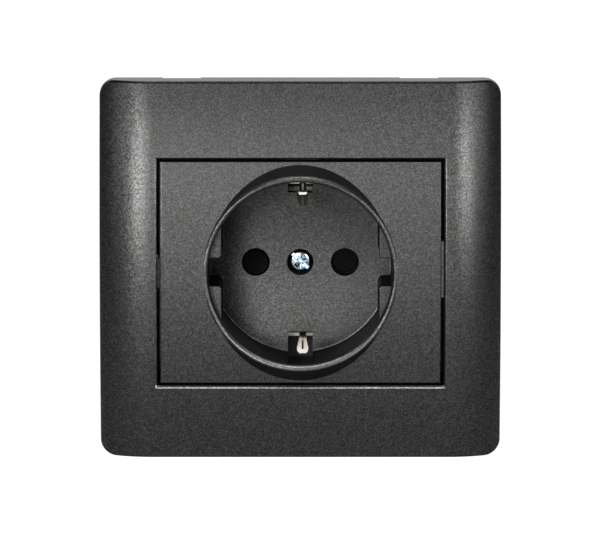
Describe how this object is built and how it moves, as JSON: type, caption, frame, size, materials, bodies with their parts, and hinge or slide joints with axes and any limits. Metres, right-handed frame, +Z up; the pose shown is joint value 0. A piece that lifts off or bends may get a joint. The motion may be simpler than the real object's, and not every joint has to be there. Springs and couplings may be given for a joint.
{
  "type": "earthed wall socket",
  "caption": "Flush wall socket with a square bulged frame, round plug recess, side earth contacts, child shutter, steel support ring and spreading claws.",
  "frame": {"origin": "on the socket axis, in the wall plane, midway between the two level fixing holes of the support ring at its rear face", "axes": "+X to the right of a person facing the socket, +Y into the wall along the socket axis, +Z up"},
  "size_m": [0.085, 0.045, 0.0806],
  "materials": {
    "painted_shell": "anthracite paint with fine metallic flakes, satin",
    "dark_moulding": "moulded anthracite plastic",
    "black_moulding": "moulded black plastic",
    "grey_moulding": "moulded grey insulating plastic",
    "zinc_screw": "blue zinc plated steel",
    "spring_steel": "bright spring steel",
    "contact_brass": "stamped brass",
    "terminal_brass": "machined brass",
    "nickel_sheet": "nickel plated sheet",
    "zinc_sheet": "zinc plated steel sheet"
  },
  "bodies": {
    "socket": {"cover_frame": "painted_shell", "frame_carrier": "dark_moulding", "centre_plate": "painted_shell", "centre_screw": "zinc_screw", "shutter_cap": "black_moulding", "shutter_spring": "spring_steel", "insert_base": "black_moulding", "rear_cover": "grey_moulding", "cover_screws": "zinc_screw", "line_contact": "contact_brass", "neutral_contact": "contact_brass", "contact_springs": "spring_steel", "line_terminal": "terminal_brass", "neutral_terminal": "terminal_brass", "earth_terminal": "terminal_brass", "terminal_screws": "zinc_screw", "earth_strap": "nickel_sheet", "support_ring": "zinc_sheet", "ring_rivets": "zinc_screw", "claw_screws": "zinc_screw"},
    "shutter_rotor": {"shutter": "black_moulding"},
    "right_claw": {"claw_right": "zinc_sheet"},
    "left_claw": {"claw_left": "zinc_sheet"}
  },
  "joints": [
    {"name": "shutter_turn", "type": "hinge", "parent": "socket", "child": "shutter_rotor", "pos_m": [0, 0.006, 0], "axis": [0, -1, 0], "range_deg": [0, 38], "stiffness_Nm_per_rad": 0.0004, "deforming": ["shutter_spring"]},
    {"name": "claw_right_swing", "type": "hinge", "parent": "socket", "child": "right_claw", "pos_m": [0.0246, 0.0221, 0], "axis": [0, 0, 1], "range_deg": [0, 25]},
    {"name": "claw_left_swing", "type": "hinge", "parent": "socket", "child": "left_claw", "pos_m": [-0.0246, 0.0221, 0], "axis": [0, 0, -1], "range_deg": [0, 25]}
  ]
}
